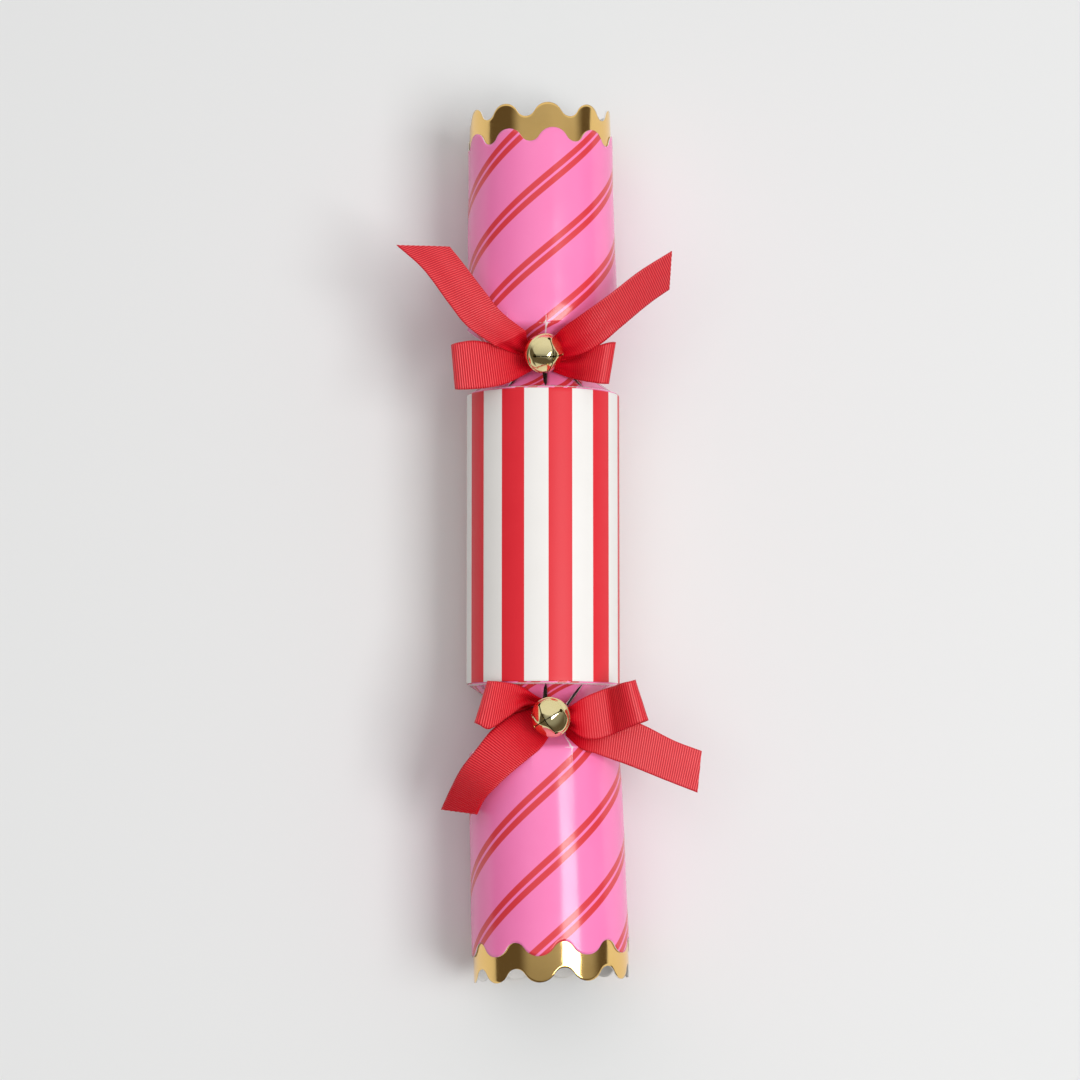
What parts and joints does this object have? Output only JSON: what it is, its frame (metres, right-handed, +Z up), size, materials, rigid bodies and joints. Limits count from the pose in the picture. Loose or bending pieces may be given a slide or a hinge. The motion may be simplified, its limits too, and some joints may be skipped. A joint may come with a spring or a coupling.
{
  "type": "christmas cracker",
  "caption": "Christmas cracker: striped card barrel in pink paper, choked at both necks by ribbon bows with jingle bells, scalloped foil ends that pull apart along the axis.",
  "frame": {"origin": "centre of the flat on the underside of the barrel, where the cracker rests", "axes": "+Y along the cracker towards its top end in the picture, +Z up, +X to the right in the picture"},
  "size_m": [0.104, 0.2953, 0.0606],
  "materials": {
    "striped_paper": "satin paper printed in lengthwise red and white stripes",
    "pink_paper": "gloss paper printed in pink with twin red diagonal stripes",
    "tube_card": "plain grey-brown card",
    "gold_foil": "mirror gold foil on thin card",
    "snap_card": "plain card",
    "snap_coat": "dark gritty coat",
    "sleeve_paper": "plain white paper",
    "tissue": "thin tissue paper",
    "gift_plastic": "moulded gloss",
    "red_ribbon": "ribbed grosgrain weave",
    "bell_brass": "polished",
    "pellet_steel": "plain",
    "thread": "thin gold thread"
  },
  "bodies": {
    "barrel": {"striped_band": "striped_paper", "wrapper_barrel": "pink_paper", "barrel_tube": "tube_card", "paper_crown": "tissue", "motto_slip": "sleeve_paper", "gift_spinning_top": "gift_plastic"},
    "top_tail": {"wrapper_top_tail": "pink_paper", "top_foil_cuff": "gold_foil", "top_end_tube": "tube_card", "snap_strip_top": "snap_card", "snap_friction_coat": "snap_coat", "top_ribbon_wrap": "red_ribbon", "top_bow_knot": "red_ribbon", "top_bow_left_loop": "red_ribbon", "top_bow_right_loop": "red_ribbon", "top_bow_left_end": "red_ribbon", "top_bow_right_end": "red_ribbon", "top_bell_thread": "thread"},
    "bottom_tail": {"wrapper_bottom_tail": "pink_paper", "bottom_foil_cuff": "gold_foil", "bottom_end_tube": "tube_card", "snap_strip_bottom": "snap_card", "snap_charge_coat": "snap_coat", "snap_sleeve": "sleeve_paper", "bottom_ribbon_wrap": "red_ribbon", "bottom_bow_knot": "red_ribbon", "bottom_bow_left_loop": "red_ribbon", "bottom_bow_right_loop": "red_ribbon", "bottom_bow_left_end": "red_ribbon", "bottom_bow_right_end": "red_ribbon", "bottom_bell_thread": "thread"},
    "top_bell": {"top_bell_plain_shell": "bell_brass", "top_bell_slotted_shell": "bell_brass", "top_bell_eye": "bell_brass"},
    "top_pellet": {"top_bell_pellet": "pellet_steel"},
    "bottom_bell": {"bottom_bell_plain_shell": "bell_brass", "bottom_bell_slotted_shell": "bell_brass", "bottom_bell_eye": "bell_brass"},
    "bottom_pellet": {"bottom_bell_pellet": "pellet_steel"}
  },
  "joints": [
    {"name": "top_tail_pull", "type": "slide", "parent": "barrel", "child": "top_tail", "axis": [0, 1, 0], "range_m": [0, 0.09]},
    {"name": "bottom_tail_pull", "type": "slide", "parent": "barrel", "child": "bottom_tail", "axis": [0, -1, 0], "range_m": [0, 0.09]},
    {"name": "top_bell_swing", "type": "hinge", "parent": "top_tail", "child": "top_bell", "pos_m": [-0.0035, 0.0625, 0.04671], "axis": [1, 0, 0], "range_deg": [-12, 12]},
    {"name": "top_pellet_rattle", "type": "slide", "parent": "top_bell", "child": "top_pellet", "axis": [0, 0, 1], "range_m": [0, 0.0074]},
    {"name": "bottom_bell_swing", "type": "hinge", "parent": "bottom_tail", "child": "bottom_bell", "pos_m": [0.0034, -0.0606, 0.04671], "axis": [1, 0, 0], "range_deg": [-12, 12]},
    {"name": "bottom_pellet_rattle", "type": "slide", "parent": "bottom_bell", "child": "bottom_pellet", "axis": [0, 0, 1], "range_m": [0, 0.0074]}
  ]
}
